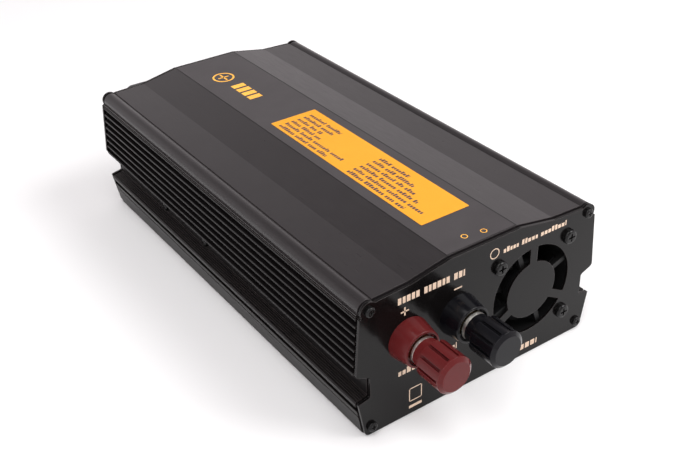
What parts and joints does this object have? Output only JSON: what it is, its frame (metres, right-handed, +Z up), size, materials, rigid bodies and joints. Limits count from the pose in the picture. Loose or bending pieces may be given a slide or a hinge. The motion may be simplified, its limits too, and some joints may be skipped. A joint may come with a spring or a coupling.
{
  "type": "power inverter",
  "caption": "Finned aluminium power inverter with binding posts and a fan grille on the front plate and an earthed outlet, rocker switch and lights on the rear plate",
  "frame": {"origin": "bottom centre of the overall box: the flat underside of the lower extrusion is at z = 0", "axes": "+X right seen from the binding posts, +Y along the case towards the outlet, +Z up"},
  "size_m": [0.164, 0.3442, 0.0891],
  "materials": {
    "case_metal": "satin anodised",
    "plate_metal": "satin powder coat",
    "strip_film": "fine textured film",
    "label_print": "satin print",
    "gasket_rubber": "matte",
    "black_screw": "black oxide",
    "plain_steel": "bright",
    "plated_brass": "bright",
    "tinned_copper": "tinned",
    "red_plastic": "moulded semi-gloss",
    "black_gloss_plastic": "moulded semi-gloss",
    "black_plastic": "moulded",
    "winding_copper": "enamelled",
    "ferrite": "matte",
    "ferrite_yellow": "painted",
    "red_wire": "soft",
    "black_wire": "soft",
    "blue_wire": "soft",
    "white_plastic": "moulded",
    "board_laminate": "satin",
    "can_sleeve": "sleeved",
    "winding_tape": "taped",
    "film_box": "moulded",
    "fuse_plastic": "clear tint",
    "pad_grey": "matte",
    "green_lens": "lens",
    "red_lens": "lens"
  },
  "bodies": {
    "case": {"base_extrusion": "case_metal", "blade_fuses": "fuse_plastic", "board_screws": "plain_steel", "board_standoffs": "plain_steel", "bulk_capacitors": "can_sleeve", "centre_strip": "strip_film", "clamp_bars": "plain_steel", "clamp_screws": "black_screw", "control_board": "board_laminate", "control_chips": "black_plastic", "corner_screws": "black_screw", "earth_clips": "plain_steel", "end_gaskets": "gasket_rubber", "fan_frame": "black_plastic", "fan_header": "white_plastic", "fan_leads": "red_wire", "fan_nuts": "plain_steel", "fan_screws": "black_screw", "fan_stator": "winding_copper", "fault_light": "red_lens", "film_capacitor": "film_box", "front_plate": "plate_metal", "inductor_core": "ferrite_yellow", "inductor_winding": "winding_copper", "input_capacitors": "can_sleeve", "left_transistors": "black_plastic", "light_leads": "red_wire", "main_board": "board_laminate", "negative_lead": "black_wire", "negative_post_body": "black_gloss_plastic", "outlet_body": "black_plastic", "outlet_contacts": "plated_brass", "outlet_leads": "blue_wire", "outlet_screws": "black_screw", "positive_lead": "red_wire", "positive_post_body": "red_plastic", "post_insulators": "black_plastic", "post_nuts": "plain_steel", "post_studs": "plated_brass", "power_light": "green_lens", "rating_label": "label_print", "rear_plate": "plate_metal", "right_transistors": "black_plastic", "ring_lugs": "tinned_copper", "switch_housing": "black_plastic", "switch_leads": "black_wire", "top_cover": "case_metal", "transformer_bobbins": "black_plastic", "transformer_cores": "ferrite", "transformer_windings": "winding_tape", "wall_pads": "pad_grey"},
    "fan_wheel": {"fan_rotor": "black_plastic", "fan_magnet": "ferrite"},
    "positive_washer_stack": {"positive_washers": "plain_steel"},
    "negative_washer_stack": {"negative_washers": "plain_steel"},
    "positive_cap_unit": {"positive_cap": "red_plastic", "positive_cap_insert": "plated_brass"},
    "negative_cap_unit": {"negative_cap": "black_gloss_plastic", "negative_cap_insert": "plated_brass"},
    "rocker": {"switch_rocker": "red_plastic"}
  },
  "joints": [
    {"name": "fan_spin", "type": "hinge", "parent": "case", "child": "fan_wheel", "pos_m": [0.0348, -0.1213, 0.0444], "axis": [0, 1, 0], "continuous": true},
    {"name": "positive_cap_travel", "type": "slide", "parent": "case", "child": "positive_washer_stack", "axis": [0, -1, 0], "range_m": [0, 0.0063]},
    {"name": "positive_cap_turn", "type": "hinge", "parent": "positive_washer_stack", "child": "positive_cap_unit", "pos_m": [-0.0498, -0.1593, 0.0517], "axis": [0, -1, 0], "range_deg": [0, 1800]},
    {"name": "negative_cap_travel", "type": "slide", "parent": "case", "child": "negative_washer_stack", "axis": [0, -1, 0], "range_m": [0, 0.0063]},
    {"name": "negative_cap_turn", "type": "hinge", "parent": "negative_washer_stack", "child": "negative_cap_unit", "pos_m": [-0.0173, -0.1593, 0.0517], "axis": [0, -1, 0], "range_deg": [0, 1800]},
    {"name": "rocker_tilt", "type": "hinge", "parent": "case", "child": "rocker", "pos_m": [0.006, 0.1627, 0.052], "axis": [-1, 0, 0], "range_deg": [0, 18]}
  ],
  "couplings": [
    {"joint": "positive_cap_travel", "follows": "positive_cap_turn", "m_per_rad": 0.00019894},
    {"joint": "negative_cap_travel", "follows": "negative_cap_turn", "m_per_rad": 0.00019894}
  ]
}
